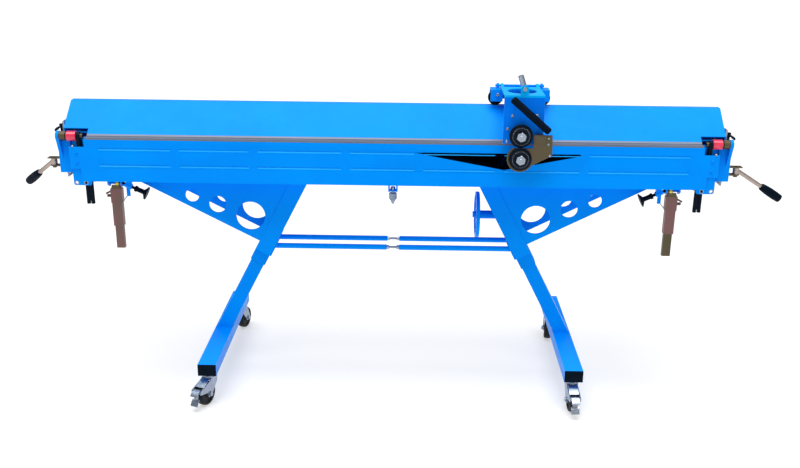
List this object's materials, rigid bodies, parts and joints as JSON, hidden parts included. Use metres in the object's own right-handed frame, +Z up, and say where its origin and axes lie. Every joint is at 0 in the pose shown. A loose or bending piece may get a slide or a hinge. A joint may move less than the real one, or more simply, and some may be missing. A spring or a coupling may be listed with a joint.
{
  "type": "sheet metal brake with slitter",
  "caption": "Wheeled sheet metal folding brake: clamping beam on eccentric levers, hinged folding apron and a rotary slitter running along the beam.",
  "frame": {"origin": "on the floor under the middle of the machine, midway between the ends of the bend", "axes": "+X along the bend line to the operator's right, +Y from the operator's side to the rear, +Z up"},
  "size_m": [2.5429, 0.7307, 1.0786],
  "materials": {
    "blue_paint": "gloss",
    "blade_steel": "satin",
    "bright_zinc": "satin",
    "yellow_zinc": "satin",
    "black_steel": "satin",
    "black_plastic": "matte",
    "wheel_rubber": "matte",
    "red_plastic": "gloss"
  },
  "bodies": {
    "stand": {"foot_beams": "blue_paint", "foot_end_caps": "black_plastic", "stand_columns": "blue_paint", "column_sockets": "blue_paint", "gusset_plates": "blue_paint", "tie_straps": "blue_paint", "tie_tubes": "blue_paint", "tie_turnbuckles": "bright_zinc", "lower_beam": "blue_paint", "table_blade": "blade_steel", "end_cheeks": "blue_paint", "hinge_pins": "bright_zinc", "hinge_bushes": "red_plastic", "beam_brackets": "blue_paint", "handwheel_arm": "blue_paint", "caster_stems": "bright_zinc"},
    "clamping_beam": {"upper_beam": "blue_paint", "upper_blade": "blade_steel", "lift_straps": "bright_zinc", "lift_brackets": "black_steel"},
    "hub_left": {"clamp_hub_left": "yellow_zinc"},
    "hub_right": {"clamp_hub_right": "yellow_zinc"},
    "lever_left": {"lever_arm_left": "bright_zinc", "lever_grip_left": "black_plastic"},
    "lever_right": {"lever_arm_right": "bright_zinc", "lever_grip_right": "black_plastic"},
    "apron": {"apron_beam": "blue_paint", "apron_tabs": "blue_paint", "apron_blade": "blade_steel", "apron_ears": "black_steel", "apron_bolts": "bright_zinc", "apron_handles": "black_steel"},
    "trolley": {"slitter_trolley": "blue_paint"},
    "roller_left": {"trolley_roller_left": "black_plastic"},
    "roller_right": {"trolley_roller_right": "black_plastic"},
    "slitter_head": {"slitter_plate": "blue_paint", "slitter_arm": "yellow_zinc", "slitter_handle": "black_plastic", "slitter_screws": "bright_zinc"},
    "knife_upper": {"upper_cutter": "black_steel"},
    "knife_lower": {"lower_cutter": "black_steel"},
    "lock_lever": {"slitter_lock_lever": "bright_zinc"},
    "crown_adjuster": {"crown_screw": "bright_zinc"},
    "side_wheel": {"handwheel": "blue_paint"},
    "arm_left": {"gauge_arm_left": "yellow_zinc"},
    "extension_left": {"gauge_slide_left": "yellow_zinc"},
    "plunger_left": {"gauge_knob_left": "black_plastic"},
    "pedal_left": {"brake_pedal_left": "bright_zinc"},
    "arm_right": {"gauge_arm_right": "yellow_zinc"},
    "extension_right": {"gauge_slide_right": "yellow_zinc"},
    "plunger_right": {"gauge_knob_right": "black_plastic"},
    "pedal_right": {"brake_pedal_right": "bright_zinc"},
    "fork_front_left": {"caster_fork_front_left": "bright_zinc"},
    "wheel_front_left": {"caster_wheel_front_left": "wheel_rubber"},
    "fork_front_right": {"caster_fork_front_right": "bright_zinc"},
    "wheel_front_right": {"caster_wheel_front_right": "wheel_rubber"},
    "fork_rear_left": {"caster_fork_rear_left": "bright_zinc"},
    "wheel_rear_left": {"caster_wheel_rear_left": "wheel_rubber"},
    "fork_rear_right": {"caster_fork_rear_right": "bright_zinc"},
    "wheel_rear_right": {"caster_wheel_rear_right": "wheel_rubber"}
  },
  "joints": [
    {"name": "beam_lift", "type": "slide", "parent": "stand", "child": "clamping_beam", "axis": [0, 0, 1], "range_m": [0, 0.02079]},
    {"name": "clamp_turn_left", "type": "hinge", "parent": "stand", "child": "hub_left", "pos_m": [-1.062, -0.06, 0.757], "axis": [-1, 0, 0], "range_deg": [0, 120]},
    {"name": "clamp_turn_right", "type": "hinge", "parent": "stand", "child": "hub_right", "pos_m": [1.062, -0.06, 0.757], "axis": [-1, 0, 0], "range_deg": [0, 120]},
    {"name": "lever_fold_left", "type": "hinge", "parent": "hub_left", "child": "lever_left", "pos_m": [-1.122, -0.06, 0.757], "axis": [0, 0, -1], "range_deg": [-124, 56]},
    {"name": "lever_fold_right", "type": "hinge", "parent": "hub_right", "child": "lever_right", "pos_m": [1.122, -0.06, 0.757], "axis": [0, 0, 1], "range_deg": [-90, 90]},
    {"name": "apron_fold", "type": "hinge", "parent": "stand", "child": "apron", "pos_m": [0, -0.138, 0.86], "axis": [-1, 0, 0], "range_deg": [0, 105]},
    {"name": "trolley_slide", "type": "slide", "parent": "clamping_beam", "child": "trolley", "axis": [1, 0, 0], "range_m": [-1.33, 0.53]},
    {"name": "roller_spin_left", "type": "hinge", "parent": "trolley", "child": "roller_left", "pos_m": [0.33, -0.00975, 0.9783], "axis": [0, 1, 0], "continuous": true},
    {"name": "roller_spin_right", "type": "hinge", "parent": "trolley", "child": "roller_right", "pos_m": [0.484, -0.00975, 0.9783], "axis": [0, 1, 0], "continuous": true},
    {"name": "slitter_tilt", "type": "hinge", "parent": "trolley", "child": "slitter_head", "pos_m": [0.407, -0.014, 1.0178], "axis": [-1, 0, 0], "range_deg": [0, 94.5]},
    {"name": "knife_spin_upper", "type": "hinge", "parent": "slitter_head", "child": "knife_upper", "pos_m": [0.398, -0.214, 0.895], "axis": [0, 1, 0], "continuous": true},
    {"name": "knife_spin_lower", "type": "hinge", "parent": "slitter_head", "child": "knife_lower", "pos_m": [0.398, -0.214, 0.824], "axis": [0, 1, 0], "continuous": true},
    {"name": "lock_turn", "type": "hinge", "parent": "slitter_head", "child": "lock_lever", "pos_m": [0.406, -0.18, 1.036], "axis": [0, 1, 0], "range_deg": [-30, 60]},
    {"name": "crown_turn", "type": "hinge", "parent": "stand", "child": "crown_adjuster", "pos_m": [0, -0.08, 0.66], "axis": [0, 0, 1], "continuous": true},
    {"name": "side_wheel_spin", "type": "hinge", "parent": "stand", "child": "side_wheel", "pos_m": [0.285, 0, 0.574], "axis": [1, 0, 0], "continuous": true},
    {"name": "gauge_swing_left", "type": "hinge", "parent": "stand", "child": "arm_left", "pos_m": [-0.911, -0.095, 0.694], "axis": [-1, 0, 0], "range_deg": [0, 90]},
    {"name": "gauge_extend_left", "type": "slide", "parent": "arm_left", "child": "extension_left", "axis": [0, 0, -1], "range_m": [0, 0.09]},
    {"name": "gauge_latch_left", "type": "slide", "parent": "stand", "child": "plunger_left", "axis": [0.9135, 0, -0.4067], "range_m": [-0.008, 0]},
    {"name": "gauge_swing_right", "type": "hinge", "parent": "stand", "child": "arm_right", "pos_m": [0.911, -0.095, 0.694], "axis": [-1, 0, 0], "range_deg": [0, 90]},
    {"name": "gauge_extend_right", "type": "slide", "parent": "arm_right", "child": "extension_right", "axis": [0, 0, -1], "range_m": [0, 0.09]},
    {"name": "gauge_latch_right", "type": "slide", "parent": "stand", "child": "plunger_right", "axis": [-0.9135, 0, -0.4067], "range_m": [-0.008, 0]},
    {"name": "caster_swivel_front_left", "type": "hinge", "parent": "stand", "child": "fork_front_left", "pos_m": [-0.596, -0.278, 0.097], "axis": [0, 0, 1], "continuous": true},
    {"name": "caster_roll_front_left", "type": "hinge", "parent": "fork_front_left", "child": "wheel_front_left", "pos_m": [-0.60724, -0.30582, 0.04], "axis": [0.9272, -0.3746, 0], "continuous": true},
    {"name": "caster_swivel_front_right", "type": "hinge", "parent": "stand", "child": "fork_front_right", "pos_m": [0.596, -0.278, 0.097], "axis": [0, 0, 1], "continuous": true},
    {"name": "caster_roll_front_right", "type": "hinge", "parent": "fork_front_right", "child": "wheel_front_right", "pos_m": [0.59705, -0.30798, 0.04], "axis": [0.9994, 0.0349, 0], "continuous": true},
    {"name": "caster_swivel_rear_left", "type": "hinge", "parent": "stand", "child": "fork_rear_left", "pos_m": [-0.596, 0.29, 0.097], "axis": [0, 0, 1], "continuous": true},
    {"name": "caster_roll_rear_left", "type": "hinge", "parent": "fork_rear_left", "child": "wheel_rear_left", "pos_m": [-0.58823, 0.31898, 0.04], "axis": [-0.9659, 0.2588, 0], "continuous": true},
    {"name": "caster_swivel_rear_right", "type": "hinge", "parent": "stand", "child": "fork_rear_right", "pos_m": [0.596, 0.29, 0.097], "axis": [0, 0, 1], "continuous": true},
    {"name": "caster_roll_rear_right", "type": "hinge", "parent": "fork_rear_right", "child": "wheel_rear_right", "pos_m": [0.59079, 0.26046, 0.04], "axis": [0.9848, -0.1736, 0], "continuous": true},
    {"name": "pedal_lift_left", "type": "hinge", "parent": "fork_front_left", "child": "pedal_left", "pos_m": [-0.62447, -0.34847, 0.064], "axis": [-0.9272, 0.3746, 0], "range_deg": [0, 25]},
    {"name": "pedal_lift_right", "type": "hinge", "parent": "fork_front_right", "child": "pedal_right", "pos_m": [0.59865, -0.35395, 0.064], "axis": [-0.9994, -0.0349, 0], "range_deg": [0, 25]}
  ],
  "couplings": [
    {"joint": "clamp_turn_left", "follows": "beam_lift", "rad_per_m": 100.76},
    {"joint": "clamp_turn_right", "follows": "beam_lift", "rad_per_m": 100.76},
    {"joint": "slitter_tilt", "follows": "apron_fold", "ratio": 0.9}
  ]
}
